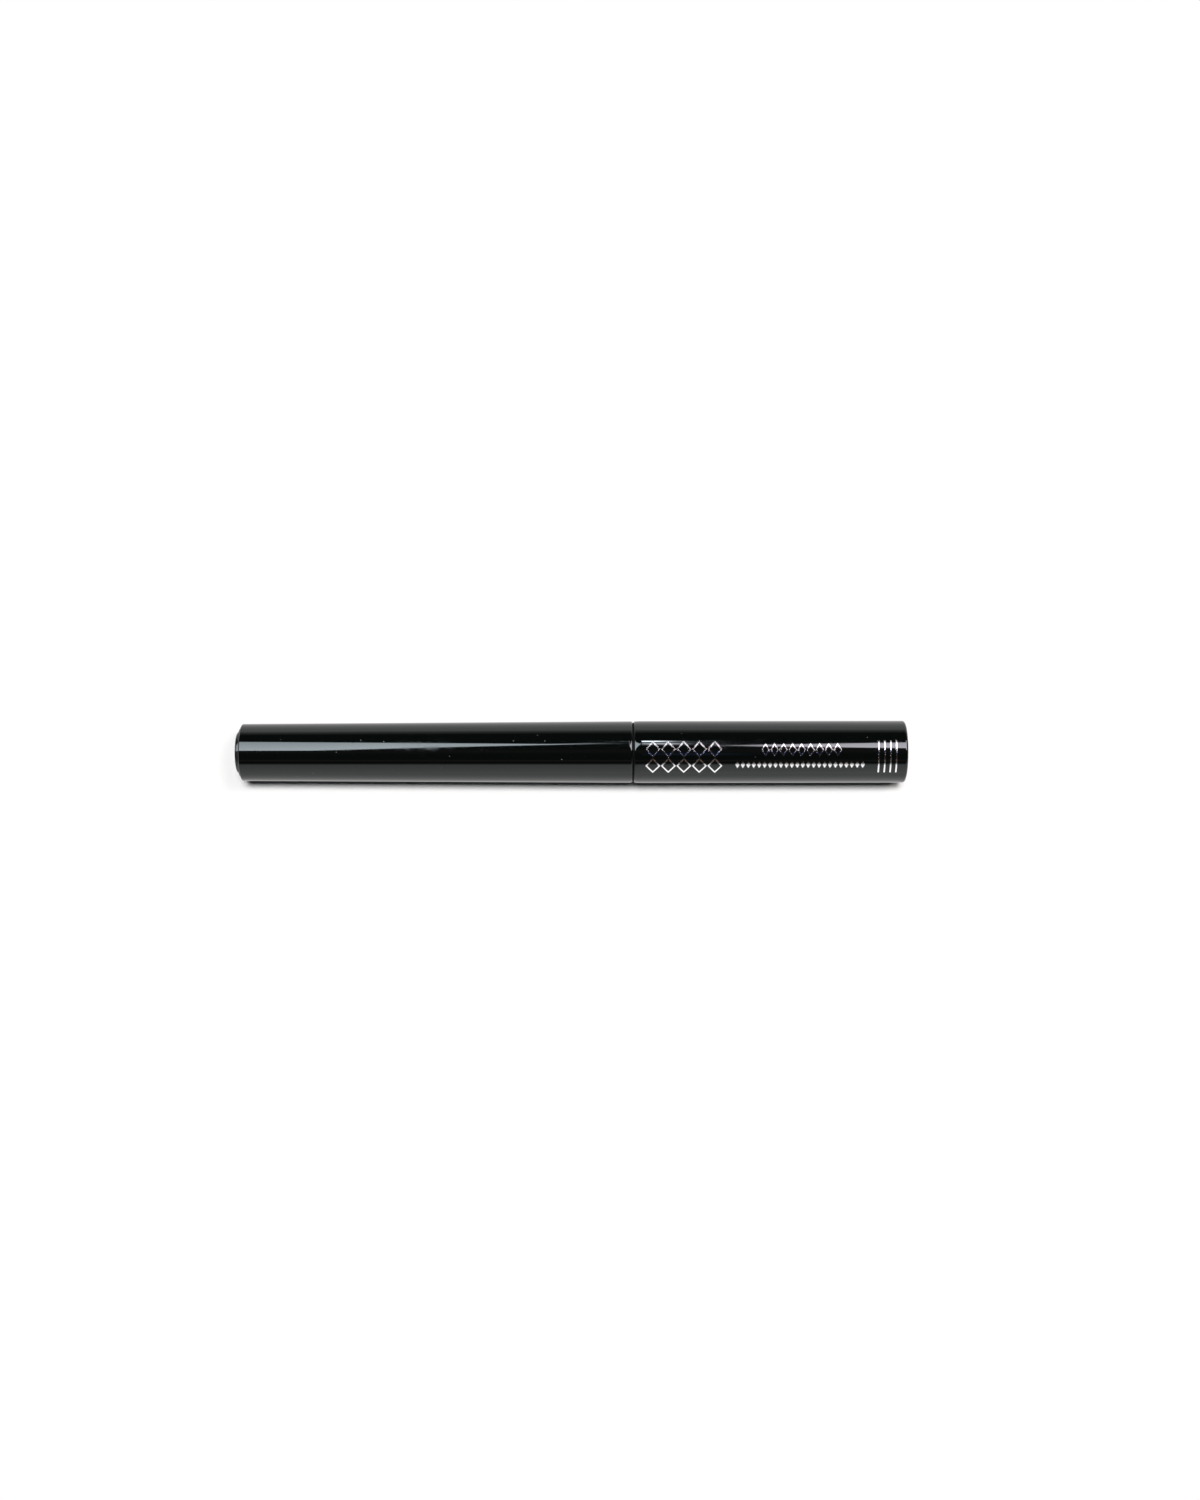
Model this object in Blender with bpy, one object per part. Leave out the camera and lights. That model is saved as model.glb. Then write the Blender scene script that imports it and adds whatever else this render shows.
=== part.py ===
"""Slim dip-type liquid eyeliner, closed and lying on its side.

The pen lies along X: the bottle with the liquid points to +X, and the long tapered cap, which is
also the handle of the brush, points to -X. The frame's origin is the middle of the base of the
pen's box, on the surface that it lies on. Every piece is turned about the pen's axis.
"""

import math

import bmesh
import bpy

# Overall sizes, in metres
PEN_LENGTH = 0.1289
BOTTLE_RADIUS = 0.0060
PEN_END = PEN_LENGTH / 2
AXIS_HEIGHT = BOTTLE_RADIUS
FIT_GAP = 0.0003
SIDES = 32
THIN_SIDES = 16

# Where the two casings meet
PARTING_X = 0.0120
PARTING_GAP = 0.0003
BOTTLE_MOUTH_X = PARTING_X + PARTING_GAP / 2
CAP_MOUTH_X = PARTING_X - PARTING_GAP / 2

# Bottle casing
BOTTLE_BORE = 0.0050
BOTTLE_FLOOR = 0.0020
BASE_ROUNDING = 0.0005
BOTTLE_MOUTH_ROUNDING = 0.00025
BOTTLE_LIP_RADIUS = 0.0057
BOTTLE_LIP_LENGTH = 0.00025

# Cap casing, tapered from its mouth to its far end
CAP_MOUTH_RADIUS = 0.00595
CAP_END_RADIUS = 0.00552
CAP_END_X = -0.06355
CAP_WALL = 0.0009
CAP_MOUTH_ROUNDING = 0.00035
CAP_END_ROUNDING = 0.0003
PLUG_SEAT_BORE = 0.00495
PLUG_SEAT_DEPTH = 0.0030

# End plug, which closes the cap's far end and stands out of it
PLUG_RADIUS = 0.00475
PLUG_BOSS_RADIUS = 0.0040
PLUG_BOSS_HEIGHT = 0.00056
PLUG_BOSS_ROUNDING = 0.00035
PLUG_ROUNDING = 0.00012
PLUG_WALL = 0.0010
PLUG_STUB_RADIUS = 0.00432
PLUG_STUB_LENGTH = 0.0040

# Vial, the inner container with the screw neck
VIAL_RADIUS = BOTTLE_BORE - FIT_GAP
VIAL_BORE = 0.0039
VIAL_FLOOR = 0.0010
VIAL_END_X = PEN_END - BOTTLE_FLOOR - FIT_GAP
VIAL_CORNER = 0.0012
COLLAR_X = 0.0109
NECK_END_X = -0.0006
NECK_RADIUS = 0.0033
NECK_BORE = 0.0024
NECK_MOUTH_BORE = 0.0029
NECK_MOUTH_DEPTH = 0.0009
SHOULDER_X = 0.0118
SHOULDER_LENGTH = 0.0015

# Screw thread between the neck and the inner cap. Shut, the cap's ridge lies half a lead below
# the neck's, so the two part once the cap has risen by half a lead and the length of its ridge.
THREAD_LEAD = 0.0015
NECK_THREAD_TURNS = 1.5
CAP_THREAD_TURNS = 1.25
THREAD_START_X = 0.0054
THREAD_HEIGHT = 0.00038
THREAD_ROOT_WIDTH = 0.0008
THREAD_CREST_WIDTH = 0.0003
THREAD_OVERLAP = 0.00015
CREST_CLEARANCE = 0.0001

# Wiper, pressed into the neck
WIPER_FLANGE_RADIUS = NECK_MOUTH_BORE - FIT_GAP
WIPER_FLANGE_THICKNESS = 0.0006
WIPER_RADIUS = NECK_BORE - FIT_GAP
WIPER_BORE = 0.0017
WIPER_LIP_BORE = 0.0014
WIPER_END_X = 0.0082
WIPER_LIP_LENGTH = 0.0020
WIPER_LIP_RADIUS = 0.0018

# Seal washer, between the neck's end and the inner cap
WASHER_RADIUS = 0.0034
WASHER_BORE = 0.0015
WASHER_THICKNESS = 0.0008
WASHER_X = NECK_END_X - FIT_GAP - WASHER_THICKNESS

# Inner cap, fixed in the cap casing
INNER_CAP_RADIUS = 0.0046
INNER_CAP_BORE = NECK_RADIUS + 2 * THREAD_HEIGHT + CREST_CLEARANCE
INNER_CAP_MOUTH_X = COLLAR_X - FIT_GAP
INNER_CAP_WEB_X = WASHER_X - FIT_GAP
INNER_CAP_WEB = 0.0016
INNER_CAP_SKIRT_WALL = 0.0007
INNER_CAP_SKIRT_LENGTH = 0.0060
INNER_CAP_MOUTH_CHAMFER = 0.0002
BOSS_RADIUS = 0.0026
BOSS_LENGTH = 0.0110
SOCKET_DEPTH = 0.0105

# Wand
ROD_RADIUS = 0.0011
ROD_START_X = INNER_CAP_WEB_X - SOCKET_DEPTH + FIT_GAP
ROD_END_X = 0.0415
ROD_TIP_BORE = 0.0008
ROD_TIP_DEPTH = 0.0028

# Brush holder and its bristles
HOLDER_END_X = 0.0460
HOLDER_SPIGOT_RADIUS = 0.00055
HOLDER_TIP_RADIUS = 0.00085
HOLDER_BORE = 0.00062
HOLDER_BORE_DEPTH = 0.0020
TUFT_END_X = 0.0545
TUFT_ROOT_RADIUS = 0.00042
TUFT_BELLY_RADIUS = 0.00072
TUFT_TIP_RADIUS = 0.00004
TUFT_BELLY_SHARE = 0.25
TUFT_STEPS = 8


def clear_scene():
    for old in list(bpy.data.objects):
        bpy.data.objects.remove(old)


def plastic(name, colour, roughness):
    """A moulded plastic or fibre, with the piece's colour and gloss."""
    finish = bpy.data.materials.new(name)
    finish.use_nodes = True
    shader = finish.node_tree.nodes["Principled BSDF"]
    shader.inputs["Base Color"].default_value = (*colour, 1.0)
    shader.inputs["Roughness"].default_value = roughness
    shader.inputs["Metallic"].default_value = 0.0
    return finish


def arc(centre_x, centre_r, radius, start_deg, end_deg, steps=3):
    """Outline points on a circle, its angle counted from +X towards the outside."""
    points = []
    for step in range(steps + 1):
        angle = math.radians(start_deg + (end_deg - start_deg) * step / steps)
        points.append((centre_x + radius * math.cos(angle), centre_r + radius * math.sin(angle)))
    return points


def axis_frame(name, carrier=None):
    """An empty on the pen's axis, which carries the pieces that move together."""
    frame = bpy.data.objects.new(name, None)
    frame.empty_display_size = 0.01
    if carrier:
        frame.parent = carrier
    else:
        frame.location = (0.0, 0.0, AXIS_HEIGHT)
    bpy.context.collection.objects.link(frame)
    return frame


def add_object(name, bm, finish, frame):
    """Makes a smooth-shaded object of the mesh, carried by an axis frame."""
    mesh = bpy.data.meshes.new(name)
    bm.to_mesh(mesh)
    bm.free()
    if finish:
        mesh.materials.append(finish)
    mesh.shade_smooth()
    mesh.set_sharp_from_angle(angle=math.radians(30))
    piece = bpy.data.objects.new(name, mesh)
    piece.parent = frame
    bpy.context.collection.objects.link(piece)
    return piece


def spin_outline(outline, sides, turns=1.0, rise=0.0):
    """Spins (x, radius) points about X. A flat lies straight down, at the stated radius."""
    bm = bmesh.new()
    half_side = math.pi / sides
    to_corner = 1.0 / math.cos(half_side)
    verts = []
    for x, radius in outline:
        reach = radius * to_corner
        verts.append(bm.verts.new((x, -reach * math.sin(half_side), -reach * math.cos(half_side))))
    touches_axis = outline[0][1] == 0.0 and outline[-1][1] == 0.0
    ends = zip(verts, verts[1:]) if touches_axis else zip(verts, verts[1:] + verts[:1])
    edges = [bm.edges.new(pair) for pair in ends]
    steps = round(turns * sides)
    bmesh.ops.spin(
        bm,
        geom=verts + edges,
        axis=(1.0, 0.0, 0.0),
        dvec=(rise / sides, 0.0, 0.0),
        angle=turns * math.tau,
        steps=steps,
        use_merge=rise == 0.0,
    )
    return bm


def turned(name, outline, finish, frame, sides=SIDES):
    """A closed solid of revolution. An outline that starts and ends on the axis is solid there."""
    bm = spin_outline(outline, sides)
    bmesh.ops.remove_doubles(bm, verts=bm.verts, dist=1e-7)
    bmesh.ops.recalc_face_normals(bm, faces=bm.faces)
    return add_object(name, bm, finish, frame)


def thread_ridge(name, root_radius, crest_radius, start_x, turns, frame):
    """A right-handed helical ridge from the root to the crest, to be joined to its wall."""
    outwards = 1.0 if crest_radius > root_radius else -1.0
    buried = root_radius - outwards * THREAD_OVERLAP
    outline = [
        (start_x - THREAD_ROOT_WIDTH / 2, buried),
        (start_x - THREAD_ROOT_WIDTH / 2, root_radius),
        (start_x - THREAD_CREST_WIDTH / 2, crest_radius),
        (start_x + THREAD_CREST_WIDTH / 2, crest_radius),
        (start_x + THREAD_ROOT_WIDTH / 2, root_radius),
        (start_x + THREAD_ROOT_WIDTH / 2, buried),
    ]
    bm = spin_outline(outline, SIDES, turns, THREAD_LEAD)
    bmesh.ops.holes_fill(bm, edges=bm.edges, sides=len(outline))
    bmesh.ops.recalc_face_normals(bm, faces=bm.faces)
    ridge = add_object(name, bm, None, frame)
    ridge.hide_render = True
    ridge.display_type = "WIRE"
    return ridge


def join_ridge(piece, ridge):
    """Fuses a ridge with the wall that it stands on."""
    union = piece.modifiers.new("thread", "BOOLEAN")
    union.operation = "UNION"
    union.solver = "EXACT"
    union.object = ridge


def bottle_shell(frame, finish):
    """The bottle's casing: a straight tube with a closed, rounded base and a low lip at its mouth."""
    outline = [(PEN_END - BOTTLE_FLOOR, 0.0), (PEN_END - BOTTLE_FLOOR, BOTTLE_BORE)]
    outline += [
        (BOTTLE_MOUTH_X - BOTTLE_LIP_LENGTH, BOTTLE_BORE),
        (BOTTLE_MOUTH_X - BOTTLE_LIP_LENGTH, BOTTLE_LIP_RADIUS),
        (BOTTLE_MOUTH_X, BOTTLE_LIP_RADIUS),
    ]
    edge = BOTTLE_MOUTH_ROUNDING
    outline += arc(BOTTLE_MOUTH_X + edge, BOTTLE_RADIUS - edge, edge, 180, 90, steps=2)
    corner = BASE_ROUNDING
    outline += arc(PEN_END - corner, BOTTLE_RADIUS - corner, corner, 90, 0)
    outline += [(PEN_END, 0.0)]
    return turned("bottle_shell", outline, finish, frame)


def cap_radius(x):
    """The tapered cap's outer radius at a place along the pen."""
    share = (CAP_MOUTH_X - x) / (CAP_MOUTH_X - CAP_END_X)
    return CAP_MOUTH_RADIUS + (CAP_END_RADIUS - CAP_MOUTH_RADIUS) * share


def cap_shell(frame, finish):
    """The cap's casing: a tapered tube with a wider seat for the plug in its far end."""
    seat_x = CAP_END_X + PLUG_SEAT_DEPTH
    rim = CAP_END_ROUNDING
    lip = CAP_MOUTH_ROUNDING
    outline = [
        (seat_x, PLUG_SEAT_BORE),
        (CAP_END_X, PLUG_SEAT_BORE),
    ]
    outline += arc(CAP_END_X + rim, CAP_END_RADIUS - rim, rim, 180, 90, steps=2)
    outline += arc(CAP_MOUTH_X - lip, CAP_MOUTH_RADIUS - lip, lip, 90, 0)
    outline += [
        (CAP_MOUTH_X, cap_radius(CAP_MOUTH_X) - CAP_WALL),
        (seat_x, cap_radius(seat_x) - CAP_WALL),
    ]
    return turned("cap_shell", outline, finish, frame)


def end_plug(frame, finish):
    """A cup-shaped plug, with a low round boss on its face."""
    face_x = -PEN_END
    flat = PLUG_BOSS_RADIUS - PLUG_BOSS_ROUNDING
    edge_x = face_x + PLUG_BOSS_HEIGHT
    back_x = CAP_END_X + PLUG_SEAT_DEPTH - FIT_GAP
    stub_x = back_x + PLUG_STUB_LENGTH
    outline = [(face_x, 0.0)]
    outline += arc(face_x + PLUG_BOSS_ROUNDING, flat, PLUG_BOSS_ROUNDING, 180, 90)
    outline += [
        (edge_x, PLUG_BOSS_RADIUS),
        (edge_x, PLUG_RADIUS - PLUG_ROUNDING),
        (edge_x + PLUG_ROUNDING, PLUG_RADIUS),
        (back_x, PLUG_RADIUS),
        (back_x, PLUG_STUB_RADIUS),
        (stub_x, PLUG_STUB_RADIUS),
        (stub_x, PLUG_STUB_RADIUS - PLUG_WALL),
        (edge_x + PLUG_WALL, PLUG_STUB_RADIUS - PLUG_WALL),
        (edge_x + PLUG_WALL, 0.0),
    ]
    return turned("end_plug", outline, finish, frame)


def vial(frame, finish):
    """The inner container: a blow-moulded body, a collar and a neck with a screw thread."""
    floor_x = VIAL_END_X - VIAL_FLOOR
    bore_x = SHOULDER_X + SHOULDER_LENGTH
    corner = VIAL_CORNER
    outline = [(floor_x, 0.0)]
    outline += arc(floor_x - corner, VIAL_BORE - corner, corner, 0, 90)
    outline += [
        (bore_x, VIAL_BORE),
        (SHOULDER_X, NECK_BORE),
        (NECK_END_X + NECK_MOUTH_DEPTH, NECK_BORE),
        (NECK_END_X + NECK_MOUTH_DEPTH, NECK_MOUTH_BORE),
        (NECK_END_X, NECK_MOUTH_BORE),
        (NECK_END_X, NECK_RADIUS),
        (COLLAR_X, NECK_RADIUS),
        (COLLAR_X, VIAL_RADIUS - FIT_GAP / 2),
        (COLLAR_X + FIT_GAP / 2, VIAL_RADIUS),
    ]
    outline += arc(VIAL_END_X - corner, VIAL_RADIUS - corner, corner, 90, 0)
    outline += [(VIAL_END_X, 0.0)]
    piece = turned("vial", outline, finish, frame)
    crest = NECK_RADIUS + THREAD_HEIGHT
    start_x = THREAD_START_X
    ridge = thread_ridge("neck_thread", NECK_RADIUS, crest, start_x, NECK_THREAD_TURNS, frame)
    join_ridge(piece, ridge)
    return piece


def wiper(frame, finish):
    """A soft sleeve in the neck, whose lips strip the rod as it is drawn out."""
    flange_x = NECK_END_X + WIPER_FLANGE_THICKNESS
    lip_x = WIPER_END_X - WIPER_LIP_LENGTH
    outline = [
        (NECK_END_X, WIPER_BORE + FIT_GAP / 2),
        (NECK_END_X, WIPER_FLANGE_RADIUS),
        (flange_x, WIPER_FLANGE_RADIUS),
        (flange_x, WIPER_RADIUS),
        (lip_x, WIPER_RADIUS),
        (WIPER_END_X, WIPER_LIP_RADIUS),
        (WIPER_END_X, WIPER_LIP_BORE),
        (lip_x, WIPER_BORE),
        (flange_x, WIPER_BORE),
    ]
    return turned("wiper", outline, finish, frame)


def seal_washer(frame, finish):
    """A soft flat ring, squeezed between the neck's end and the inner cap."""
    outline = [
        (WASHER_X, WASHER_BORE),
        (WASHER_X, WASHER_RADIUS),
        (WASHER_X + WASHER_THICKNESS, WASHER_RADIUS),
        (WASHER_X + WASHER_THICKNESS, WASHER_BORE),
    ]
    return turned("seal_washer", outline, finish, frame)


def inner_cap(frame, finish):
    """The threaded cap inside the casing, with a boss behind its web that holds the rod."""
    web_back_x = INNER_CAP_WEB_X - INNER_CAP_WEB
    skirt_end_x = web_back_x - INNER_CAP_SKIRT_LENGTH
    boss_end_x = web_back_x - BOSS_LENGTH
    skirt_bore = INNER_CAP_RADIUS - INNER_CAP_SKIRT_WALL
    mouth = INNER_CAP_MOUTH_CHAMFER
    outline = [
        (INNER_CAP_WEB_X - SOCKET_DEPTH, 0.0),
        (INNER_CAP_WEB_X - SOCKET_DEPTH, ROD_RADIUS + FIT_GAP),
        (INNER_CAP_WEB_X, ROD_RADIUS + FIT_GAP),
        (INNER_CAP_WEB_X, INNER_CAP_BORE),
        (INNER_CAP_MOUTH_X - mouth, INNER_CAP_BORE),
        (INNER_CAP_MOUTH_X, INNER_CAP_BORE + mouth),
        (INNER_CAP_MOUTH_X, INNER_CAP_RADIUS),
        (skirt_end_x, INNER_CAP_RADIUS),
        (skirt_end_x, skirt_bore),
        (web_back_x, skirt_bore),
        (web_back_x, BOSS_RADIUS),
        (boss_end_x, BOSS_RADIUS),
        (boss_end_x, 0.0),
    ]
    piece = turned("inner_cap", outline, finish, frame)
    crest = INNER_CAP_BORE - THREAD_HEIGHT
    start_x = THREAD_START_X + THREAD_LEAD / 2
    ridge = thread_ridge("cap_thread", INNER_CAP_BORE, crest, start_x, CAP_THREAD_TURNS, frame)
    join_ridge(piece, ridge)
    return piece


def wand_rod(frame, finish):
    """The rod, held in the boss, with a blind hole in its tip for the brush holder."""
    hole_x = ROD_END_X - ROD_TIP_DEPTH
    outline = [
        (ROD_START_X, 0.0),
        (ROD_START_X, ROD_RADIUS),
        (ROD_END_X, ROD_RADIUS),
        (ROD_END_X, ROD_TIP_BORE),
        (hole_x, ROD_TIP_BORE),
        (hole_x, 0.0),
    ]
    return turned("wand_rod", outline, finish, frame, THIN_SIDES)


def brush_holder(frame, finish):
    """A tapered tip with a spigot for the rod and a blind hole for the bristles."""
    spigot_x = ROD_END_X - ROD_TIP_DEPTH + FIT_GAP
    body_x = ROD_END_X + FIT_GAP / 2
    hole_x = HOLDER_END_X - HOLDER_BORE_DEPTH
    outline = [
        (spigot_x, 0.0),
        (spigot_x, HOLDER_SPIGOT_RADIUS),
        (body_x, HOLDER_SPIGOT_RADIUS),
        (body_x, ROD_RADIUS),
        (HOLDER_END_X, HOLDER_TIP_RADIUS),
        (HOLDER_END_X, HOLDER_BORE),
        (hole_x, HOLDER_BORE),
        (hole_x, 0.0),
    ]
    return turned("brush_holder", outline, finish, frame, THIN_SIDES)


def bristles(frame, finish):
    """The fine brush: a bound root, a slight belly and a long taper to a point."""
    root_x = HOLDER_END_X - HOLDER_BORE_DEPTH + FIT_GAP
    length = TUFT_END_X - HOLDER_END_X
    outline = [
        (root_x, 0.0),
        (root_x, TUFT_ROOT_RADIUS),
        (HOLDER_END_X, TUFT_ROOT_RADIUS),
        (HOLDER_END_X + TUFT_BELLY_SHARE * length / 2, 0.5 * (TUFT_ROOT_RADIUS + TUFT_BELLY_RADIUS)),
    ]
    for step in range(TUFT_STEPS + 1):
        along = step / TUFT_STEPS
        x = HOLDER_END_X + length * (TUFT_BELLY_SHARE + (1 - TUFT_BELLY_SHARE) * along)
        radius = TUFT_BELLY_RADIUS * math.cos(0.5 * math.pi * along)
        outline.append((x, max(radius, TUFT_TIP_RADIUS)))
    outline.append((TUFT_END_X, 0.0))
    return turned("bristles", outline, finish, frame, THIN_SIDES)


def build():
    clear_scene()
    gloss_black = plastic("gloss_black_casing", (0.006, 0.006, 0.007), 0.08)
    satin_black = plastic("satin_black_moulding", (0.012, 0.012, 0.013), 0.35)
    natural_soft = plastic("soft_natural_moulding", (0.62, 0.62, 0.58), 0.45)
    bristle_black = plastic("bristle_black", (0.01, 0.009, 0.009), 0.5)

    bottle = axis_frame("bottle_axis")
    bottle_shell(bottle, gloss_black)
    vial(bottle, satin_black)
    wiper(bottle, natural_soft)

    washer = axis_frame("washer_axis", bottle)
    seal_washer(washer, natural_soft)

    brush = axis_frame("brush_axis", washer)
    bristles(brush, bristle_black)

    closure = axis_frame("closure_axis", brush)
    cap_shell(closure, gloss_black)
    end_plug(closure, gloss_black)
    inner_cap(closure, satin_black)
    wand_rod(closure, satin_black)
    brush_holder(closure, satin_black)


build()
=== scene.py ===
import math
import random

import bmesh
import bpy
from mathutils import Matrix, Vector


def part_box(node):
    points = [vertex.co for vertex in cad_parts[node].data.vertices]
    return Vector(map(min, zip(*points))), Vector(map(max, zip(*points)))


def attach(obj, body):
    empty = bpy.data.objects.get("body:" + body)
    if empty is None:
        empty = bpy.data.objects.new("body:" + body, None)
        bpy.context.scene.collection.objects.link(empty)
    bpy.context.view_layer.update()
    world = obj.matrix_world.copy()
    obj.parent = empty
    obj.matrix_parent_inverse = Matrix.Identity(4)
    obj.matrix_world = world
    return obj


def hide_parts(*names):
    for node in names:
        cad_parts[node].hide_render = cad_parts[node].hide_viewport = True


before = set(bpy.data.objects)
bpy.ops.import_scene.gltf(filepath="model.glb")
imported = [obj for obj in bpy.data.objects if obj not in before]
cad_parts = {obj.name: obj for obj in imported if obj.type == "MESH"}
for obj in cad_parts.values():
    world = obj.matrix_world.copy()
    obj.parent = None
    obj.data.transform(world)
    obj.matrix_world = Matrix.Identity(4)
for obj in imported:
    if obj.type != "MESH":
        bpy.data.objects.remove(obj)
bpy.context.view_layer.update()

# The camera hangs straight above the pen, a little to the bottle's side of its middle, as when
# the photograph was taken. The top of the picture is +Y.
CAMERA_PLACE = (0.0056, 0.00039, 0.409)
CAMERA_TURN = -0.0012
camera_optics = bpy.data.cameras.new("camera")
camera_optics.lens = 50.0
camera_optics.sensor_width = 36.0
camera_optics.clip_start = 0.01
camera_optics.clip_end = 20.0
camera = bpy.data.objects.new("camera", camera_optics)
camera.location = CAMERA_PLACE
camera.rotation_euler = (0.0, 0.0, CAMERA_TURN)
bpy.context.collection.objects.link(camera)
bpy.context.scene.camera = camera
bpy.context.scene.view_settings.view_transform = "Standard"

# The table is a plain white sheet that runs on past the picture on all sides. Its paper is the
# first material, so the two classes that add shader nodes stand here.
TABLE_REACH = 3.0
PAPER_WHITE = (0.985, 0.985, 0.985, 1.0)
table_mesh = bpy.data.meshes.new("table")
bm = bmesh.new()
bmesh.ops.create_grid(bm, x_segments=1, y_segments=1, size=TABLE_REACH)
bm.to_mesh(table_mesh)
bm.free()
table = bpy.data.objects.new("table", table_mesh)
bpy.context.collection.objects.link(table)


class Signal:
    """What flows out of a node's socket. Arithmetic on it adds the Math nodes that it needs."""

    def __init__(self, sheet, socket):
        self.sheet = sheet
        self.socket = socket

    def maths(self, operation, *values):
        return self.sheet.node("ShaderNodeMath", {"operation": operation}, dict(enumerate(values)))

    def __add__(self, other):
        return self.maths("ADD", self, other)

    def __sub__(self, other):
        return self.maths("SUBTRACT", self, other)

    def __rsub__(self, other):
        return self.maths("SUBTRACT", other, self)

    def __mul__(self, other):
        return self.maths("MULTIPLY", self, other)

    __radd__ = __add__
    __rmul__ = __mul__

    def at_least(self, other):
        return self.maths("MAXIMUM", self, other)

    def at_most(self, other):
        return self.maths("MINIMUM", self, other)

    def size(self):
        return self.maths("ABSOLUTE", self)

    def root(self):
        return self.maths("SQRT", self)

    def angle_to(self, other):
        """The angle of this and other as the two legs of a right triangle, in degrees."""
        return self.maths("ARCTAN2", self, other) * math.degrees(1.0)

    def rise(self, low, high):
        """0 below low, 1 above high, and a smooth step between them."""
        limits = {"Value": self, "From Min": low, "From Max": high}
        return self.sheet.node("ShaderNodeMapRange", {"interpolation_type": "SMOOTHSTEP"}, limits)

    def fall(self, low, high):
        """1 below low, 0 above high, and a smooth step between them."""
        return 1 - self.rise(low, high)

    def near(self, middle, reach):
        """1 at the middle, falling smoothly to 0 at reach on either side of it."""
        return (self - middle).size().fall(0.0, reach)

    def out(self, name):
        """Another socket of the same node."""
        return Signal(self.sheet, self.socket.node.outputs[name])


class NodeSheet:
    """The nodes of a material or of the world."""

    def __init__(self, owner):
        owner.use_nodes = True
        self.tree = owner.node_tree
        self.tree.nodes.clear()

    def node(self, kind, settings=None, sockets=None, output=0):
        """Adds a node: its settings first, then the values or links of its sockets."""
        made = self.tree.nodes.new(kind)
        for name, value in (settings or {}).items():
            setattr(made, name, value)
        for name, value in (sockets or {}).items():
            if isinstance(value, Signal):
                self.tree.links.new(value.socket, made.inputs[name])
            else:
                made.inputs[name].default_value = value
        return Signal(self, made.outputs[output]) if made.outputs else None

    def x_of(self, place):
        """The X of a place or a direction. Its Y and Z are other sockets of the same node."""
        return self.node("ShaderNodeSeparateXYZ", None, {0: place})

    def tinted(self, strength, colour):
        """A colour or light of varying strength."""
        sockets = {0: colour, "Scale": strength}
        return self.node("ShaderNodeVectorMath", {"operation": "SCALE"}, sockets)

    def sum(self, first, second):
        return self.node("ShaderNodeVectorMath", {"operation": "ADD"}, {0: first, 1: second})

    def mix(self, share, first, second):
        """The first colour where share is 0, the second where it is 1."""
        return self.node("ShaderNodeMix", {"data_type": "RGBA"}, {0: share, 6: first, 7: second}, 2)


table_paper = bpy.data.materials.new("white_table")
sheet = NodeSheet(table_paper)
paper = sheet.node("ShaderNodeBsdfDiffuse", None, {"Color": PAPER_WHITE})
sheet.node("ShaderNodeOutputMaterial", None, {"Surface": paper})
table_mesh.materials.append(table_paper)

# The light falls from a row of soft lamps almost straight above, a little to the +Y side, and makes
# the narrow shadow under the pen's other side. The last lamp, weak, warm and far over to the
# bottle's end, makes the faint shadow beyond the cap's. The gloss doesn't show them.
LAMPS_STRENGTH = 3.34
LAMP_BREADTH = math.radians(12.5)
PLAIN_LIGHT, WARM_LIGHT = (1.0, 1.0, 1.0), (1.0, 0.93, 0.87)
# How far over each lamp stands to the bottle's end and to +Y, in degrees, its share and its tint.
LAMPS = (
    (-3.0, 10.3, 0.28, PLAIN_LIGHT),
    (1.0, 10.3, 0.29, PLAIN_LIGHT),
    (5.0, 10.3, 0.29, PLAIN_LIGHT),
    (24.0, 14.0, 0.14, WARM_LIGHT),
)
for number, (to_base, backwards, share, tint) in enumerate(LAMPS):
    lamp_light = bpy.data.lights.new(f"soft_lamp_{number}", "SUN")
    lamp_light.energy = LAMPS_STRENGTH * share
    lamp_light.angle = LAMP_BREADTH
    lamp_light.color = tint
    lamp = bpy.data.objects.new(f"soft_lamp_{number}", lamp_light)
    lamp.rotation_euler = (-math.radians(backwards), math.radians(to_base), 0.0)
    lamp.visible_glossy = False
    bpy.context.collection.objects.link(lamp)

# The room, as the gloss mirrors it. A direction in it is known by how far it leans to the cap's or
# the bottle's end, as a share of its length, and by its tilt from overhead to +Y, in degrees.
room = bpy.data.worlds.new("room")
bpy.context.scene.world = room
sheet = NodeSheet(room)
along = sheet.x_of(sheet.node("ShaderNodeTexCoord"))
upwards = along.out("Z")
tilt = along.out("Y").angle_to(upwards)
to_cap = (0 - along).at_least(0.0)
to_bottle = along.at_least(0.0)

# The panel is a long bright lamp overhead, on the +Y side. Its two long edges are tilts, which
# drift apart towards both ends of the pen. It fades over the parting line and at its ends, and is
# brightest along its near edge.
PARTING_ZONE = (0.0, 0.04)
NEAR_EDGE, NEAR_EDGE_LEAST = 32.0, 7.0
NEAR_TO_CAP, NEAR_BEND = 115.0, 370.0
NEAR_TO_BOTTLE, NEAR_STEP = 106.0, 3.3
FAR_EDGE, FAR_EDGE_MOST = 35.0, 44.0
FAR_TO_CAP, FAR_CAP_STEP = 86.0, 7.5
FAR_TO_BOTTLE, FAR_BOTTLE_STEP = 116.0, 17.6
EDGE_BLUR = 0.6
near_edge = NEAR_EDGE - NEAR_TO_CAP * to_cap - NEAR_BEND * to_cap * to_cap
near_edge = near_edge - NEAR_TO_BOTTLE * to_bottle - NEAR_STEP * to_bottle.rise(*PARTING_ZONE)
near_edge = near_edge.at_least(NEAR_EDGE_LEAST)
far_edge = FAR_EDGE + FAR_TO_CAP * to_cap - FAR_CAP_STEP * to_cap.rise(*PARTING_ZONE)
far_edge = far_edge + FAR_TO_BOTTLE * to_bottle - FAR_BOTTLE_STEP * to_bottle.rise(*PARTING_ZONE)
far_edge = far_edge.at_most(FAR_EDGE_MOST)
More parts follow.
